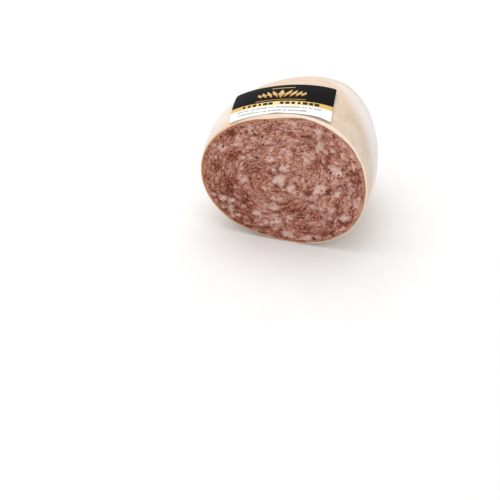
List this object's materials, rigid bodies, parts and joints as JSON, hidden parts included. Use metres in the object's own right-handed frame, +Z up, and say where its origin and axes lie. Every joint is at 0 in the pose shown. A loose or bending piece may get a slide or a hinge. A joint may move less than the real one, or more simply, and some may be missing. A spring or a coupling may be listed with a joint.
{
  "type": "cured sausage half",
  "caption": "Half of a large white-cased coarse pork sausage with its cut face showing and a paper label across the top.",
  "frame": {"origin": "on the resting plane, under the middle of the part's bounding box", "axes": "+Z up, -Y the way the cut face looks, +Y towards the rounded end, +X to the right as the cut face is seen"},
  "size_m": [0.1146, 0.099, 0.1029],
  "materials": {
    "casing": "matt off-white skin with a faint sheen, coarse pink meat at the cut",
    "meat": "moist coarse-ground pink pork with pale fat and black pepper, seen at the cut",
    "label": "glossy printed paper"
  },
  "bodies": {
    "root": {"sausage": "casing", "label": "label"}
  },
  "joints": []
}
